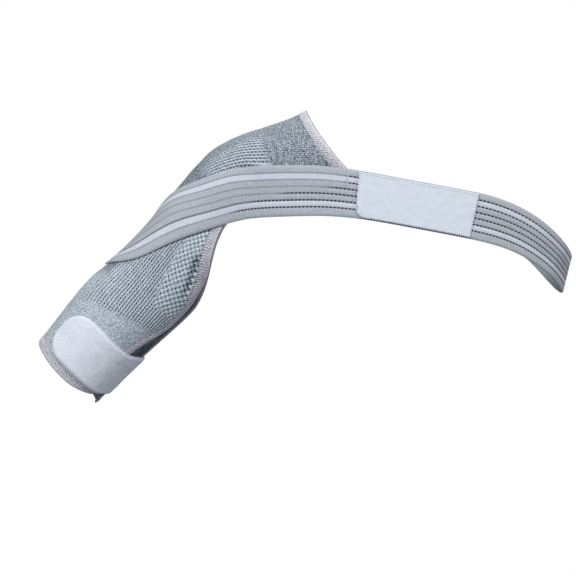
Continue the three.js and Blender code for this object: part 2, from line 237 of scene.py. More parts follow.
def lerp(a, b, t):
    return a + (b - a) * t


def ease(low, high, x):
    """Goes smoothly from 0 at low to 1 at high."""
    t = np.clip((x - low) / (high - low), 0, 1)
    return t * t * (3 - 2 * t)


def wave(x, pitch):
    return np.cos(2 * np.pi * x / pitch)


def section(along):
    share = np.asarray(along) / SLEEVE_LENGTH
    middle = follow(SECTIONS, "along", "middle", share) * ARM_WIDTH
    outer = follow(SECTIONS, "along", "crown", share) * ARM_WIDTH - middle
    inner = follow(SECTIONS, "along", "inner", share) * ARM_WIDTH
    depth = follow(SECTIONS, "along", "depth", share) * ARM_DEPTH
    return middle, outer, inner, depth, follow(SECTIONS, "along", "squareness", share)


def edge_bearing(along, side):
    return follow(WRAP_EDGES, "along", side, np.asarray(along) / SLEEVE_LENGTH)


def from_arm(along, outward, y):
    run = along - SHOULDER_FROM_HEM
    c, s = math.cos(ARM_SLOPE), math.sin(ARM_SLOPE)
    return np.stack(np.broadcast_arrays(run * c - outward * s, y, run * s + outward * c), -1)


def crease(along, bearing):
    t = (bearing - CREASE_FROM) / (CREASE_TO - CREASE_FROM)
    line = lerp(CREASE_START, CREASE_END, t) * SLEEVE_LENGTH
    fade = np.exp(-(((t - 0.5) / CREASE_REACH) ** 4))
    return CREASE_DEPTH * fade * np.exp(-(((along - line) / CREASE_WIDTH) ** 2))


def sleeve_point(along, bearing, lift):
    """A point on the sleeve's outer face, raised by lift. Positive bearings go round by the front."""
    middle, outer, inner, depth, squareness = section(along)
    c, s = np.cos(np.radians(bearing)), np.sin(np.radians(bearing))
    square = (np.abs(c) ** squareness + np.abs(s) ** squareness) ** (1 / squareness)
    raised = lift - crease(along, bearing)
    reach = np.where(c > 0, outer, inner) + raised
    return from_arm(along, middle + reach * c / square, -(depth + raised) * s / square)


def clear_of_sleeve(points, clearance):
    """Points pushed straight out from the arm's middle line until they clear the sleeve."""
    c, s = math.cos(ARM_SLOPE), math.sin(ARM_SLOPE)
    x, y, z = points[..., 0], points[..., 1], points[..., 2]
    along, outward = x * c + z * s + SHOULDER_FROM_HEM, z * c - x * s
    middle, outer, inner, depth, squareness = section(along)
    off = outward - middle
    reach = np.where(off > 0, outer, inner) + clearance
    inside = np.abs(off / reach) ** squareness + np.abs(y / (depth + clearance)) ** squareness
    inside = np.maximum(inside ** (1 / squareness), 1e-6)
    push = (inside < 1) & (along <= SLEEVE_LENGTH + BINDING_WIDTH)
    return np.where(push[..., None], from_arm(along, middle + off / inside, y / inside), points)


def hem_line(bearing):
    t = np.clip((np.asarray(bearing, float) - HEM_RISE_FROM) / (HEM_RISE_TO - HEM_RISE_FROM), 0, 1)
    return HEM_RISE * t**HEM_RISE_CURVE + HEM_LEAN * np.maximum(np.cos(np.radians(bearing)), 0) ** 2


def neck_line(bearing):
    return SLEEVE_LENGTH - NECK_LEAN * np.sin(np.radians(bearing)) ** 2


def width_in_degrees(along, side, width):
    """How many degrees a width takes up, measured square to the wrap's edge."""
    step = 0.5
    bearing = edge_bearing(along, side) * (1 if side == "front" else -1)
    turn = sleeve_point(along, bearing + step, 0) - sleeve_point(along, bearing - step, 0)
    per_degree = np.linalg.norm(turn, axis=-1) / (2 * step)
    shift = edge_bearing(along + step, side) - edge_bearing(along - step, side)
    slide = per_degree * shift / (2 * step)
    return width * np.hypot(1, slide) / per_degree


def panel_place(share, bearing):
    """A place along the sleeve between its two end bindings."""
    return lerp(hem_line(bearing) + INSET, neck_line(bearing) - INSET, share)


def wrap_end(share, side, width):
    """The bearing of the wrap's edge, and of a line in from it by a width."""
    sign = 1 if side == "front" else -1
    along = panel_place(share, 0)
    for _ in range(4):
        edge = edge_bearing(along, side)
        along = panel_place(share, sign * edge)
    return edge, edge - width_in_degrees(along, side, width)


# Meshes


def piece_from(name, points, faces, material, values=None, sharp=60):
    """A smooth mesh object in metres, with named values at its points."""
    mesh = bpy.data.meshes.new(name)
    mesh.from_pydata((np.asarray(points) * MM).tolist(), [], faces)
    for key, value in (values or {}).items():
        kept = mesh.attributes.new(key, "FLOAT", "POINT")
        kept.data.foreach_set("value", np.asarray(value, np.float32))
    solid = bmesh.new()
    solid.from_mesh(mesh)
    bmesh.ops.recalc_face_normals(solid, faces=solid.faces)
    solid.to_mesh(mesh)
    solid.free()
    mesh.shade_smooth()
    mesh.set_sharp_from_angle(angle=math.radians(sharp))
    mesh.materials.append(material)
    piece = bpy.data.objects.new(name, mesh)
    bpy.context.scene.collection.objects.link(piece)
    return piece


def grid_faces(rows, columns, start=0, flip=False):
    a = start + (np.arange(rows)[:, None] * (columns + 1) + np.arange(columns)).ravel()
    quads = np.stack([a, a + 1, a + columns + 2, a + columns + 1], 1)
    return (quads[:, ::-1] if flip else quads).tolist()


def rim(rows, columns, start=0):
    """Point numbers once round the edge of a grid, corner by corner."""
    at = start + np.arange((rows + 1) * (columns + 1)).reshape(rows + 1, columns + 1)
    return [at[0], at[:, -1], at[-1, ::-1], at[::-1, 0]]


def shell(outer, inner, ratio):
    """A closed skin from a fine outer grid and an inner grid that is ratio times coarser each way."""
    rows, columns = outer.shape[0] - 1, outer.shape[1] - 1
    low_rows, low_columns = inner.shape[0] - 1, inner.shape[1] - 1
    start = (rows + 1) * (columns + 1)
    faces = grid_faces(rows, columns) + grid_faces(low_rows, low_columns, start, True)
    for fine, coarse in zip(rim(rows, columns), rim(low_rows, low_columns, start)):
        for k in range(len(coarse) - 1):
            above = fine[k * ratio:(k + 1) * ratio + 1].tolist()
            faces.append(above[::-1] + [int(coarse[k]), int(coarse[k + 1])])
    return np.concatenate([outer.reshape(-1, 3), inner.reshape(-1, 3)]), faces


def over_shell(outer_values, inner, low=0.0):
    """Values at a shell's points, with one value for the whole inner grid."""
    return np.concatenate([np.ravel(outer_values), np.full(inner.shape[0] * inner.shape[1], low)])


def bumps_at(points, size):
    """Soft irregular heights from -1 to 1 at points, with lumps of a size."""
    heights = [noise.noise(Vector(p) / size) for p in points.reshape(-1, 3)]
    return np.array(heights).reshape(points.shape[:-1])


def tubes(lines, radius, sides=5):
    """Points and faces of thin threads along short lines."""
    points, faces = [], []
    turn = np.linspace(0, 2 * np.pi, sides, endpoint=False)
    for line, out in lines:
        start = len(points)
        run = np.gradient(line, axis=0)
        run /= np.linalg.norm(run, axis=1, keepdims=True)
        side = np.cross(run, out)
        side /= np.linalg.norm(side, axis=1, keepdims=True)
        up = np.cross(side, run)
        count = len(line)
        swell = np.sqrt(1 - np.linspace(-0.94, 0.94, count) ** 4)
        ring = np.cos(turn)[None, :, None] * side[:, None] + np.sin(turn)[None, :, None] * up[:, None]
        points.extend((line[:, None] + radius * swell[:, None, None] * ring).reshape(-1, 3))
        for i in range(count - 1):
            for k in range(sides):
                a, b = start + i * sides + k, start + i * sides + (k + 1) % sides
                faces.append([a, b, b + sides, a + sides])
        faces.append([start + k for k in reversed(range(sides))])
        faces.append([start + (count - 1) * sides + k for k in range(sides)])
    return np.array(points), faces


def sewn(body, values, stitches, radius):
    """Points, faces and values of a body and of threads along stitches, whose thread value is 1."""
    points, faces = body
    thread_points, thread_faces = tubes(stitches, radius)
    before, added = len(points), len(thread_points)
    faces = faces + [[i + before for i in face] for face in thread_faces]
    values = {key: np.concatenate([value, np.zeros(added)]) for key, value in values.items()}
    values["thread"] = np.concatenate([np.zeros(before), np.ones(added)])
    return np.concatenate([points, thread_points]), faces, values


# Shaders


class Shade:
    """A socket of a material's tree. Arithmetic on it adds Math nodes."""

    def __init__(self, tree, socket=None):
        self.tree = tree
        self.socket = socket

    def node(self, kind, settings=None, inputs=None, out=0):
        added = self.tree.nodes.new(kind)
        for key, value in (settings or {}).items():
            setattr(added, key, value)
        for key, value in (inputs or {}).items():
            if isinstance(value, Shade):
                self.tree.links.new(value.socket, added.inputs[key])
            else:
                added.inputs[key].default_value = value
        return Shade(self.tree, added.outputs[out])

    def math(self, operation, *values, clamp=False):
        settings = {"operation": operation, "use_clamp": clamp}
        return self.node("ShaderNodeMath", settings, dict(enumerate(values)))

    def __add__(self, other):
        return self.math("ADD", self, other)

    def __sub__(self, other):
        return self.math("SUBTRACT", self, other)

    def __rsub__(self, other):
        return self.math("SUBTRACT", other, self)

    def __mul__(self, other):
        return self.math("MULTIPLY", self, other)

    __radd__ = __add__
    __rmul__ = __mul__

    def wave(self, pitch):
        """1 at each whole pitch and 0 half way between."""
        return self.math("COSINE", self * (2 * math.pi / pitch)) * 0.5 + 0.5

    def ease(self, low, high):
        """Goes smoothly from 0 at low to 1 at high."""
        settings = {"interpolation_type": "SMOOTHSTEP"}
        return self.node("ShaderNodeMapRange", settings, {0: self, 1: low, 2: high, 3: 0.0, 4: 1.0})

    def within(self):
        """This value, kept from 0 to 1."""
        return self.math("MULTIPLY", self, 1.0, clamp=True)

    def mix(self, low, high):
        """Colours mixed by this value."""
        settings = {"data_type": "RGBA"}
        return self.node("ShaderNodeMix", settings, {0: self, 6: low, 7: high}, out=2)

    def value(self, name):
        """A value kept at the mesh's points."""
        return self.node("ShaderNodeAttribute", {"attribute_name": name}, out=2)

    def place(self):
        return self.node("ShaderNodeTexCoord", out=3)

    def specks(self, size, detail=2.0, roughness=0.5):
        """Irregular specks from 0 to 1, of about a size in millimetres."""
        inputs = {"Vector": self.place(), "Scale": 1 / (size * MM)}
        inputs.update({"Detail": detail, "Roughness": roughness})
        return self.node("ShaderNodeTexNoise", inputs=inputs)


def colour(red, green, blue):
    """A colour as a screen shows it, turned into amounts of light."""
    shares = (red / 255, green / 255, blue / 255)
    light = [c / 12.92 if c < 0.0404 else ((c + 0.055) / 1.055) ** 2.4 for c in shares]
    return (*light, 1.0)


def cloth(name, paint, roughness=0.9, sheen=0.15, relief=0.3):
    """A cloth material. Paint gives its colour and height, and relief is its height in millimetres."""
    material = bpy.data.materials.new(name)
    material.use_nodes = True
    tree = material.node_tree
    surface = tree.nodes["Principled BSDF"]
    surface.inputs["Roughness"].default_value = roughness
    surface.inputs["Sheen Weight"].default_value = sheen
    surface.inputs["Sheen Roughness"].default_value = 0.6
    surface.inputs["Specular IOR Level"].default_value = 0.2
    shade = Shade(tree)
    tint, height = paint(shade)
    inputs = {"Strength": 1.0, "Distance": relief * MM, "Height": height}
    bump = shade.node("ShaderNodeBump", inputs=inputs)
    tree.links.new(tint.socket, surface.inputs["Base Color"])
    tree.links.new(bump.socket, surface.inputs["Normal"])
    return material


def knit_paint(shade):
    """Speckled knit with ribs, a honeycomb and rows of dashes, with painted shade in the fold beside
    the front binding.
    """
    rib, honeycomb, dashes = shade.value("rib"), shade.value("honeycomb"), shade.value("dashes")
    round_it, along, row = shade.value("round"), shade.value("along"), shade.value("row")
    specks = shade.specks(1.25, 1.0) - 0.5
    fine = shade.specks(0.7, 2.0) - 0.5
    hatch = (along + round_it * 0.9).wave(2.1) * (along * -0.6 + round_it).wave(2.4) - 0.25
    plain = specks * 2.1 + fine * 1.1 + hatch * 0.3 + 0.66 - along.ease(95, 125) * 0.4
    plain = plain + along.ease(255, 275) * 0.07

    strength = round_it.ease(8, 38) * 0.5 + 0.5
    on_rib = round_it.wave(RIB_PITCH)
    ridge = on_rib.ease(0.7, 0.98) * (0.55 + (along + round_it * 0.4).wave(3.1) * 0.45)
    groove = 1 - on_rib.ease(0.05, 0.55)
    stitch = (along + round_it * 0.75).wave(RIB_STITCH).ease(0.2, 0.7)
    ribbed = (ridge * 0.86 - groove * stitch * 0.5) * strength
    ribbed = ribbed + 0.51 + specks * 1.6 + fine * 0.9

    slanted, rising = round_it + along * HONEYCOMB_SLANT, along - round_it * HONEYCOMB_SLANT
    cells = (slanted.wave(HONEYCOMB_ROUND) * 2 - 1) * (rising.wave(HONEYCOMB_ALONG) * 2 - 1)
    cells = cells + specks * 0.8
    combed = cells.ease(0.15, 0.75) * 0.55 + 0.68 - (0 - cells).ease(0.38, 0.92) * 0.62
    combed = combed + specks * 1.3 + fine

    on_row = row.wave(DASH_ROW)
    dash = (along + round_it * 0.25).wave(DASH_PITCH).ease(0.1, 0.5)
    rows = on_row.ease(0.5, 0.95) * 0.26 - (1 - on_row).ease(0.35, 0.85) * dash * 0.46
    rows = rows + 0.49 + specks * 1.3 + fine * 0.8

    tone = (1 - rib - honeycomb - dashes) * plain + rib * ribbed + honeycomb * combed + dashes * rows
    # Painted shade: the knit's tone is darkened in the fold beside the front binding.
    tone = tone - shade.value("fold") * 0.5
    tint = tone.within().mix(colour(46, 62, 80), colour(223, 236, 248))
    return tint, tone * 0.8 + fine * 0.4


def binding_paint(shade):
    """Mauve-grey tape with slanted stitches along its inner part, and painted shade along its outer
    fold.
    """
    across, thread = shade.value("across"), shade.value("thread")
    specks, fine = shade.specks(0.9) - 0.5, shade.specks(0.5) - 0.5
    stitched = 1 - across.ease(*STITCHED_PART)
    # Painted shade: the outer part of the tape, where it turns over the edge, is darkened.
    fold = across.ease(0.88, 0.96)
    tone = specks * 2.3 + fine * 1.3 + 0.84 + stitched * (thread * 0.44 - 0.32) - fold * 0.5
    tint = tone.within().mix(colour(72, 73, 84), colour(229, 229, 239))
    return tint, tone * 0.5 + thread * stitched


def webbing_paint(shade):
    """Grey elastic with two pale stripes and six lines of ladder stitches."""
    across, run, pull = shade.value("across"), shade.value("run"), shade.value("pull")
    specks, fine = shade.specks(1.0) - 0.5, shade.specks(0.55) - 0.5
    ribs = (run + across * 9).wave(1.7)
    stripe = 0
    for low, high in STRIPES:
        starts = across.ease(low - STRIPE_BLUR, low + STRIPE_BLUR)
        ends = across.ease(high - STRIPE_BLUR, high + STRIPE_BLUR)
        stripe = stripe + starts * (1 - ends)
    base = specks * 1.3 + fine * 0.8 + ribs * 0.16 + 0.5
    grey = base.mix(colour(132, 139, 150), colour(206, 213, 222))
    pale = base.mix(colour(182, 190, 206), colour(228, 234, 246))
    woven = stripe.mix(grey, pale)
    line = shade.value("ladder").ease(0.2, 0.8)
    gap = 0.8 - pull * 0.46
    dash = line * ((run + across * 4).wave(LADDER_PITCH).ease(0.12, 0.5) * (1 - gap) + gap)
    firm = across.ease(0.6, 0.66) * (1 - across.ease(0.7, 0.74)) * 0.3 + 0.3
    tint = (dash * (pull * (1 - firm) + firm)).mix(woven, colour(12, 17, 28))
    edge = shade.value("selvedge")
    tint = (edge * 0.35).mix(tint, colour(84, 88, 100))
    tint = shade.value("thread").mix(tint, colour(206, 212, 224))
    return tint, ribs * 0.35 + specks * 0.8 - dash * 0.8


def patch_paint(shade):
    """Pale brushed loops, a little matted, with paler sewing thread and painted shade along the edge.
    """
    nap, matted = shade.specks(0.8, 4.0, 0.7) - 0.5, shade.specks(9, 2.0) - 0.5
    thread = shade.value("thread")
    # Painted shade: the tone is darkened along the patch's edge.
    tone = (nap * 0.7 + matted * 0.15) * (1 - thread) + 0.68 - shade.value("edge") * 0.36 + thread * 0.6
    tint = tone.within().mix(colour(172, 186, 212), colour(241, 248, 255))
    return tint, nap + matted * 0.6


def fleece_paint(shade):
    """Pale soft fleece with a short nap, and painted shade along its edge."""
    nap, matted = shade.specks(0.9, 4.0, 0.65) - 0.5, shade.specks(13, 2.0) - 0.5
    blotch = shade.specks(3.5, 2.0) - 0.5
    # Painted shade: the tone is darkened along the tab's edge, as a contact shadow.
    tone = nap * 0.9 + matted * 0.3 + blotch * 0.5 + 0.79 - shade.value("edge") * 0.4
    tint = tone.within().mix(colour(178, 193, 216), colour(240, 246, 255))
    return tint, nap + matted * 0.5 + blotch * 1.2


KNIT = cloth("knit", knit_paint, relief=0.45)
BINDING = cloth("binding", binding_paint, roughness=0.8, relief=0.25)
WEBBING = cloth("webbing", webbing_paint, roughness=0.75, relief=0.2)
PATCH = cloth("patch", patch_paint, roughness=0.95, sheen=0.3, relief=0.25)
FLEECE = cloth("fleece", fleece_paint, roughness=1.0, sheen=0.35, relief=0.3)

# Strap surface


def smooth_line(stations, shares):
    """Points at shares of the run of a curve through stations."""
    last = len(stations) - 1
    before, after = 2 * stations[0] - stations[1], 2 * stations[last] - stations[last - 1]
    padded = np.concatenate([[before], stations, [after]])
    place = np.clip(np.asarray(shares) * last, 0, last - 1e-9)
    i = place.astype(int)
    t = (place - i)[..., None]
    a, b, c, d = (padded[i + k] for k in range(4))
    steps = (b - a, c - b, d - c)
    gap_a, gap_b, gap_c = (np.linalg.norm(step, axis=-1, keepdims=True) ** 0.5 for step in steps)
    start = ((b - a) / gap_a - (c - a) / (gap_a + gap_b) + (c - b) / gap_b) * gap_b
    end = ((c - b) / gap_b - (d - b) / (gap_b + gap_c) + (d - c) / gap_c) * gap_b
    curve = (3 * c - 3 * b - 2 * start - end) * t**2 + (2 * b - 2 * c + start + end) * t**3
    return b + start * t + curve


def chest_front(across, reach):
    """Depth of the chest in front of the arm's plane, where the strap lies on it."""
    if across < CHEST_CENTRE:
        off = (CHEST_CENTRE - across) / (CHEST_CENTRE - CHEST_EDGE)
        return CHEST_DEPTH - CHEST_FLATTENING * off**2
    share = min((across - CHEST_CENTRE) / (reach - CHEST_CENTRE), 1)
    return CHEST_DEPTH * (1 - share**CHEST_SQUARENESS) ** (1 / CHEST_SQUARENESS)


def chest_station(across, height, lean, share, rise, side):
    """The upper and lower edge of the strap at one place on the chest."""
    x, z, width = across * CHEST_REACH, height * CHEST_REACH, share * STRAP_WIDTH
    low_x, low_z = x + width * math.sin(math.radians(lean)), z - width * math.cos(math.radians(lean))
    y, low_y = chest_front(x, CHEST_REACH), chest_front(low_x, CHEST_REACH - CHEST_TAPER)
    lifted = BACK_RISE * rise if side > 0 else 0
    return (x, side * y, z + lifted), (low_x, side * low_y, low_z + lifted)


def strap_stations():
    rows = STRAP_ON_SLEEVE
    along = rows["along"] * SLEEVE_LENGTH
    turn = np.degrees(rows["round"] * STRAP_WIDTH / (ARM_WIDTH / 2))
    lift = BINDING_PROUD + CLOTH_GAP
    upper = list(sleeve_point(along, rows["bearing"], lift))
    lower = list(sleeve_point(along - rows["down"] * STRAP_WIDTH, rows["bearing"] + turn, lift))
    chest = list(zip(*STRAP_ON_CHEST.values()))
    end = (chest[0][0] - STRAP_END_OVERLAP / CHEST_REACH,) + chest[0][1:]
    for row, side in [(r, -1) for r in chest] + [(r, 1) for r in chest[-2::-1] + [end]]:
        high, low = chest_station(*row, side)
        upper.append(high)
        lower.append(low)
    return np.array(upper), np.array(lower)


UPPER, LOWER = strap_stations()


def strap_surface(u, v):
    near = [np.clip(np.asarray(u) + step / (len(UPPER) - 1), 0, 1) for step in STRAP_SOFTENING]
    high = sum(smooth_line(UPPER, place) for place in near) / len(near)
    low = sum(smooth_line(LOWER, place) for place in near) / len(near)
    return clear_of_sleeve(lerp(high, low, np.asarray(v)[..., None]), BINDING_PROUD + CLOTH_GAP)


def strap_point(u, v, lift):
    """A point over the strap, raised square to it."""
    u, v, lift = np.broadcast_arrays(u, v, lift)
    step, side_step = 0.004, 0.05
    after, before = np.minimum(u + step, 1), np.maximum(u - step, 0)
    below, above = np.minimum(v + side_step, 1), np.maximum(v - side_step, 0)
    run = strap_surface(after, v) - strap_surface(before, v)
    down = strap_surface(u, below) - strap_surface(u, above)
    out = np.cross(down, run)
    out /= np.linalg.norm(out, axis=-1, keepdims=True)
    return strap_surface(u, v) + out * lift[..., None]


def strap_share_at(across):
    """The share of the strap's run at which its middle lies a distance across the chest's front."""
    stations = len(UPPER) - 1
    low, high = len(STRAP_ON_SLEEVE["along"]) / stations, (len(UPPER) // 2 + 4) / stations
    shares = np.linspace(low, high, 4000)
    over = strap_surface(shares, np.full(4000, 0.5))[:, 0]
    return float(shares[np.argmax(over >= across)])


# Pieces


def knit_values(along, bearing):
    """The knit's zones and the coordinates that its patterns follow."""
    slant = follow(RIB_SLANT, "bearing", "slant", bearing)
    half = ARM_WIDTH / 2
    front = half * (1 - np.cos(np.radians(bearing)))
    beyond = half * (1 + np.radians(bearing - 90))
    round_it = np.where(bearing < 90, np.where(bearing < 0, half * np.radians(bearing), front), beyond)
    round_it = round_it + slant * (along - 100)
    start = np.interp(along, HONEYCOMB_EDGE["along"], HONEYCOMB_EDGE["bearing"])
    honeycomb = ease(-7, 7, bearing - start) * ease(*HONEYCOMB_LOW, along)
    honeycomb = honeycomb * (1 - ease(*HONEYCOMB_HIGH, along))
    low = np.interp(bearing, RIB_ENDS["bearing"], RIB_ENDS["along"])
    rib = ease(-4, 4, along - low) * ease(*RIB_ROUND, bearing)
    rib = rib * (1 - honeycomb) * (1 - ease(*RIB_HIGH, along))
    past = along + DASH_HIGH_SLANT * (bearing - DASH_HIGH_AT) - DASH_HIGH
    dashes = ease(*DASH_ROUND, bearing) * ease(*DASH_LOW, along) * (1 - ease(-3, 3, past))
    dashes = dashes * (1 - rib) * (1 - honeycomb)
    return {"round": round_it, "along": along, "rib": rib, "honeycomb": honeycomb, "dashes": dashes}


def fold(along, bearing):
    """How deep in the fold beside the front binding a place lies, from 0 to 1."""
    line = np.interp(bearing, FOLD_LINE["bearing"], FOLD_LINE["along"])
    ends = ease(*FOLD_STARTS, bearing) * (1 - ease(*FOLD_ENDS, bearing))
    return ends * np.exp(-(((along - line) / FOLD_WIDTH) ** 2))


def knitted_sleeve():
    ratio, rows, columns = FINE_TO_COARSE, KNIT_STEPS, KNIT_COLUMNS
    share = np.linspace(0, 1, rows + 1)[:, None]
    front = wrap_end(share, "front", INSET)[1]
    back = wrap_end(share, "back", INSET)[1]
    over = np.interp(np.linspace(0, 1, columns + 1), (0, 0.3, 1), (0, 0.55, 1))
    bearing = lerp(-back, front, over)
    along = panel_place(share, bearing)
    values = knit_values(along, bearing)
    flat = sleeve_point(along, bearing, 0.0)
    edge = smooth_line(UPPER, np.linspace(0, 0.5, 500))
    values["row"] = np.min([np.linalg.norm(flat - p, axis=-1) for p in edge[::2]], axis=0)
    # The fold value dents the knit, and the knit material also uses it to paint shade into the fold.
    values["fold"] = fold(along, bearing)
    cells = wave(values["round"] + along * HONEYCOMB_SLANT, HONEYCOMB_ROUND)
    cells = cells * wave(along - values["round"] * HONEYCOMB_SLANT, HONEYCOMB_ALONG)
    to_end = np.minimum(share, 1 - share) * SLEEVE_LENGTH
    to_side = np.minimum(over, 1 - over) * SLEEVE_ROUND
    to_edge = np.minimum(to_end, to_side)
    relief = values["honeycomb"] * (HONEYCOMB_RELIEF * np.maximum(cells, -0.5) - 0.2)
    relief += values["rib"] * (RIB_RELIEF * wave(values["round"], RIB_PITCH) - 0.1)
    relief += values["dashes"] * (DASH_RELIEF * wave(values["row"], DASH_ROW) - 0.1)
    relief += SOFT_RELIEF * bumps_at(flat, SOFT_LUMP) - FOLD_DEPTH * values["fold"]
    outer = sleeve_point(along, bearing, relief * ease(0, 4, to_edge))
    inner = sleeve_point(along, bearing, -KNIT_WALL)[::ratio, ::ratio]
    points, faces = shell(outer, inner, ratio)
    kept = {key: over_shell(value, inner) for key, value in values.items()}
    for key in ("round", "along"):
        coarse = values[key][::ratio, ::ratio].ravel()
        kept[key][-len(coarse):] = coarse
    return piece_from("knitted_sleeve", points, faces, KNIT, kept)


def tape(name, place, length):
    """A soft binding swept along place(share, across, lift), with zigzag stitches on its inner part."""
    rows, sides = int(length / BINDING_STEP), BINDING_SIDES
    share = np.linspace(0, 1, rows + 1)[:, None]
    turn = np.linspace(0, 2 * np.pi, sides, endpoint=False)[None, :]
    c, s = np.cos(turn), np.sin(turn)
    across = 0.5 + 0.5 * np.sign(c) * np.abs(c) ** 0.55
    up = np.sign(s) * np.abs(s) ** 0.7
    zigzag = np.abs(np.mod(across * 2.4, 2) - 1) * BINDING_STITCH
    thread = ease(-0.4, 0.6, wave(share * length + zigzag, BINDING_STITCH))
    stitched = 1 - ease(*STITCHED_PART, across)
    half = KNIT_WALL / 2 + BINDING_PROUD
    lift = -KNIT_WALL / 2 + up * (half - 0.35 + 0.35 * thread * stitched + 0.15 * (1 - stitched))
    points = place(share, across, lift)
    at = np.arange((rows + 1) * sides).reshape(rows + 1, sides)
    after = np.roll(at, -1, axis=1)
    faces = np.stack([at[:-1], after[:-1], after[1:], at[1:]], -1).reshape(-1, 4).tolist()
    faces += [at[0].tolist(), at[-1, ::-1].tolist()]
    values = {"across": across, "thread": thread}
    values = {key: np.broadcast_to(value, at.shape).ravel() for key, value in values.items()}
    return piece_from(name, points.reshape(-1, 3), faces, BINDING, values, sharp=70)


def side_place(side):
    sign = 1 if side == "front" else -1

    def place(share, across, lift):
        edge, inside = wrap_end(share, side, BINDING_WIDTH)
        bearing = sign * lerp(inside, edge, across)
        return sleeve_point(panel_place(share, bearing), bearing, lift)

    return place


def end_place(line, direction):
    edge = line(0)
    front, back = edge_bearing(edge, "front"), edge_bearing(edge, "back")

    def place(share, across, lift):
        bearing = lerp(-back, front, share)
        return sleeve_point(line(bearing) + direction * (1 - across) * BINDING_WIDTH, bearing, lift)

    return place


def striped_strap():
    ratio, rows = FINE_TO_COARSE, STRAP_STEPS
    lines = LADDER["across"]
    near = np.array(NEAR_LADDER) / STRAP_WIDTH
    marks = np.concatenate([(lines[:, None] + near).ravel(), STRAP_MARKS])
    v = np.sort(np.concatenate([marks, [1.0]]))
    v = v[: (len(v) - 1) // ratio * ratio + 1]
    v[-1] = 1.0
    u = np.linspace(0, 1, rows + 1)[:, None]
    middle = strap_surface(u[:, 0], np.full(rows + 1, 0.5))
    run = np.concatenate([[0], np.cumsum(np.linalg.norm(np.diff(middle, axis=0), axis=1))])[:, None]
    u, across, run = np.broadcast_arrays(u, v[None, :], run)
    flat = strap_surface(u, across)
    off = np.min(np.abs(across[..., None] - lines), axis=-1) * STRAP_WIDTH
    ladder = np.exp(-((off / LADDER_WIDTH) ** 2))
    opens = np.interp(across, LADDER["across"], LADDER["opens_at"])
    pull = np.maximum(ease(-14, 4, flat[..., 0] - opens), ease(-5, 5, flat[..., 1]))
    dash = 0.5 + 0.5 * wave(run, LADDER_PITCH)
    to_edge = np.minimum(across, 1 - across) * STRAP_WIDTH
    rounding = 0.45 * np.exp(-((to_edge / 0.9) ** 2))
    lift = STRAP_THICKNESS * (1 - rounding) - LADDER_DEPTH * ladder * pull * (0.5 + 0.5 * dash)
    outer = strap_point(u, across, lift)
    inner = strap_point(u, across, 0.0)[::ratio, ::ratio]
    values = {"across": across, "run": run, "pull": pull, "selvedge": np.exp(-((to_edge / 0.6) ** 2))}
    kept = {"ladder": over_shell(ladder, inner)}
    for key, value in values.items():
        kept[key] = np.concatenate([value.ravel(), value[::ratio, ::ratio].ravel()])
    points, faces, kept = sewn(shell(outer, inner, ratio), kept, bar_tack(), BAR_TACK_RADIUS)
    return piece_from("striped_strap", points, faces, WEBBING, kept)


def stitch_row(place, starts, ends):
    """Short threads from start to end on a surface place(a, b, lift), each with its own hump."""
    t = np.linspace(0, 1, 6)[:, None]
    lines = []
    for start, end in zip(starts, ends):
        at = lerp(np.array(start), np.array(end), t)
        hump = 0.05 + 0.3 * np.sin(np.pi * t[:, 0])
        line = place(at[:, 0], at[:, 1], hump)
        out = place(at[:, 0], at[:, 1], hump + 1) - line
        lines.append((line, out))
    return lines


def bar_tack():
    """Zigzag threads that sew the strap's upper part to the corner of the neck edge."""
    u = strap_share_at(BAR_TACK_ACROSS)
    u_step = (strap_share_at(BAR_TACK_ACROSS + 10) - u) / 10
    half = BAR_TACK_WIDTH / 2 * u_step
    rises = np.arange(BAR_TACK_TOP, BAR_TACK_BOTTOM, BAR_TACK_PITCH)
    starts = [(u - half, v) for v in rises]
    middles = [(u + half, v + BAR_TACK_PITCH / 2) for v in rises]
    ends = [(u - half, v + BAR_TACK_PITCH) for v in rises]

    def place(a, b, lift):
        return strap_point(a, b, lift + STRAP_THICKNESS - THREAD_SUNK)

    return stitch_row(place, starts + middles, middles + ends)


def patch_stitches(place):
    """Short threads that point in from the patch's edge, all round it but for its rounded corner."""
    lines = []
    for run in np.arange(PATCH_CORNER, PATCH_LENGTH - 1, PATCH_STITCH_PITCH):
        for side, lean in ((0, 1), (1, -1)):
            lines.append(((run, side), (run + 0.5, side + lean * PATCH_STITCH / PATCH_WIDTH)))
    for rise in np.arange(1, PATCH_WIDTH - 1, PATCH_STITCH_PITCH) / PATCH_WIDTH:
        for edge_at, lean in ((0, 1), (PATCH_LENGTH, -1)):
            if edge_at or rise < 1 - PATCH_CORNER / PATCH_WIDTH:
                lines.append(((edge_at, rise), (edge_at + lean * PATCH_STITCH, rise + 0.01)))
    top = PATCH_THICKNESS - PATCH_THREAD_SUNK
    return stitch_row(lambda a, b, lift: place(a, b, lift + top), *zip(*lines))


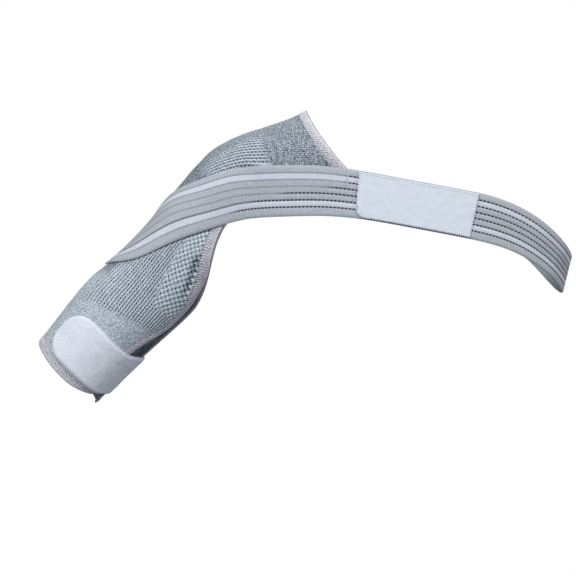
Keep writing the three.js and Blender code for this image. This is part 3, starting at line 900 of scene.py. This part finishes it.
def nap_patch():
    ratio, rows, columns = FINE_TO_COARSE, PATCH_STEPS, PATCH_COLUMNS
    start, end = strap_share_at(PATCH_FROM_SHOULDER), strap_share_at(PATCH_FROM_SHOULDER + PATCH_LENGTH)
    margin = (STRAP_WIDTH - PATCH_WIDTH) / (2 * STRAP_WIDTH)
    bottom = STRAP_THICKNESS + CLOTH_GAP

    def place(run, over, lift):
        into = np.clip(PATCH_CORNER - run, 0, PATCH_CORNER * 0.97)
        cut = PATCH_CORNER - np.sqrt(PATCH_CORNER**2 - into**2)
        low = 1 - margin - cut / STRAP_WIDTH
        return strap_point(lerp(start, end, run / PATCH_LENGTH), lerp(margin, low, over), bottom + lift)

    share = np.linspace(0, 1, rows + 1)[:, None] ** 1.15
    run, over = np.broadcast_arrays(share * PATCH_LENGTH, np.linspace(0, 1, columns + 1))
    to_edge = np.minimum(np.minimum(run, PATCH_LENGTH - run), np.minimum(over, 1 - over) * PATCH_WIDTH)
    # How near the patch's edge a place lies, which the patch material uses for painted shade along the
    # edge.
    edge = np.exp(-((to_edge / 2.3) ** 4))
    dent = 0.18 * np.exp(-(((to_edge - 2.4) / 0.7) ** 2))
    soft = 0.22 * bumps_at(np.stack([run, over * PATCH_WIDTH, run * 0], -1), 7.0)
    lift = PATCH_THICKNESS * (1 - 0.45 * np.exp(-((to_edge / 0.8) ** 2))) + soft - dent - 0.2
    outer = place(run, over, lift)
    inner = place(run, over, 0.0)[::ratio, ::ratio]
    values = {"edge": over_shell(edge, inner)}
    stitches = patch_stitches(place)
    points, faces, values = sewn(shell(outer, inner, ratio), values, stitches, PATCH_THREAD_RADIUS)
    return piece_from("nap_patch", points, faces, PATCH, values)


def fleece_tab():
    ratio, rows, columns = FINE_TO_COARSE, TAB_STEPS, TAB_COLUMNS
    half, lift = TAB_WIDTH / 2, BINDING_PROUD + CLOTH_GAP
    round_end = math.degrees(half / (ARM_WIDTH / 2 + lift))
    start = TAB_END_BEARING + round_end
    share = np.linspace(0, 1, rows + 1)[:, None]
    quarter = np.radians(lerp(TAB_TIP_ANGLE, 90, np.minimum(share / TAB_ROUND_SHARE, 1)))
    straight = np.maximum(share - TAB_ROUND_SHARE, 0) / (1 - TAB_ROUND_SHARE)
    bearing = start - round_end * np.cos(quarter) + straight * (TAB_ROOT_BEARING - start)
    half_width = half * np.sin(quarter)
    over = np.linspace(-1, 1, columns + 1)
    bearing, over = np.broadcast_arrays(bearing, over)
    along = follow(TAB_SHAPE, "bearing", "middle", bearing) * TAB_WIDTH + half_width * over
    side = (1 - np.abs(over)) * half_width
    tip = (bearing - TAB_END_BEARING) * math.radians(ARM_WIDTH / 2)
    to_edge = np.minimum(side, np.where(bearing < start, np.maximum(tip, 0) * 1.2, side))
    rounding = 0.5 * np.exp(-((to_edge / 1.7) ** 2))
    place = np.stack([bearing * 0.9, along, along * 0], -1)
    folds = 0.45 * bumps_at(place, 18.0) + 0.22 * bumps_at(place + 50, 6.0)
    folds = folds * (0.15 + 0.85 * ease(90, 125, bearing)) * ease(0, 6, to_edge)
    outer = sleeve_point(along, bearing, lift + TAB_THICKNESS * (1 - rounding) + folds - 0.2)
    inner = sleeve_point(along, bearing, lift)[::ratio, ::ratio]
    points, faces = shell(outer, inner, ratio)
    # How near the tab's edge a place lies, which the fleece material uses for painted shade along the
    # edge.
    values = {"edge": over_shell(np.exp(-((to_edge / 1.4) ** 2)), inner)}
    return piece_from("fleece_tab", points, faces, FLEECE, values)


sleeve = knitted_sleeve()
tapes = {
    "neck_binding": tape("neck_tape", end_place(neck_line, -1), END_LENGTH),
    "hem_binding": tape("hem_tape", end_place(hem_line, 1), END_LENGTH),
    "front_binding": tape("front_tape", side_place("front"), SIDE_LENGTH),
    "back_binding": tape("back_tape", side_place("back"), SIDE_LENGTH),
}
strap = striped_strap()
patch = nap_patch()
tab = fleece_tab()

pieces = [
    (sleeve, "knit_sleeve", "knit"),
    (strap, "chest_strap", "webbing"),
    (patch, "closure_patch", "patch"),
    (tab, "arm_tab", "fleece"),
] + [(piece, node, "binding") for node, piece in tapes.items()]
for piece, node, slot in pieces:
    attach(piece, "root")
    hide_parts(node)

# Camera, light and floor, in metres

FLOOR_HALF = 2
FLOOR_LEVEL = -1.3
AMBIENT = 0.11

camera = bpy.data.objects.new("camera", bpy.data.cameras.new("camera"))
camera.location = (0.055, -1.6, -0.1636)
camera.rotation_euler = (math.pi / 2, 0, 0)
camera.data.sensor_width = 36
camera.data.lens = 90.91
bpy.context.scene.collection.objects.link(camera)
bpy.context.scene.camera = camera


def softbox(name, place, target, size, power):
    light = bpy.data.lights.new(name, "AREA")
    light.shape = "DISK"
    light.size = size
    light.energy = power
    lamp = bpy.data.objects.new(name, light)
    lamp.location = place
    lamp.rotation_euler = (Vector(target) - Vector(place)).to_track_quat("-Z", "Y").to_euler()
    bpy.context.scene.collection.objects.link(lamp)


softbox("key_light", (-0.8, -1.8, 1.05), (0.0, 0.0, -0.1), 0.8, 33)
softbox("right_light", (1.7, -1.3, 1.3), (0.35, 0.0, -0.1), 1.2, 29)
softbox("top_light", (-0.7, -0.3, 1.8), (0.0, 0.0, -0.1), 1.2, 8)
softbox("back_light", (0.6, 1.8, 1.4), (0.1, 0.0, -0.1), 1.4, 17)

world = bpy.data.worlds.new("studio")
world.use_nodes = True
bpy.context.scene.world = world
sky = world.node_tree.nodes["Background"]
seen = world.node_tree.nodes.new("ShaderNodeLightPath")
level = world.node_tree.nodes.new("ShaderNodeMapRange")
level.inputs["To Min"].default_value = AMBIENT
level.inputs["To Max"].default_value = 1.0
world.node_tree.links.new(seen.outputs["Is Camera Ray"], level.inputs["Value"])
world.node_tree.links.new(level.outputs["Result"], sky.inputs["Strength"])
sky.inputs["Color"].default_value = (1.0, 1.0, 1.0, 1.0)
bpy.context.scene.view_settings.view_transform = "Standard"

floor_mesh = bpy.data.meshes.new("floor")
around = ((-1, -1), (1, -1), (1, 1), (-1, 1))
corners = [(x * FLOOR_HALF, y * FLOOR_HALF, FLOOR_LEVEL) for x, y in around]
floor_mesh.from_pydata(corners, [], [(0, 1, 2, 3)])
floor_paint = bpy.data.materials.new("floor")
floor_paint.use_nodes = True
floor_surface = floor_paint.node_tree.nodes["Principled BSDF"]
floor_surface.inputs["Base Color"].default_value = (0.4, 0.42, 0.46, 1.0)
floor_surface.inputs["Roughness"].default_value = 0.9
floor_mesh.materials.append(floor_paint)
floor = bpy.data.objects.new("floor", floor_mesh)
bpy.context.scene.collection.objects.link(floor)
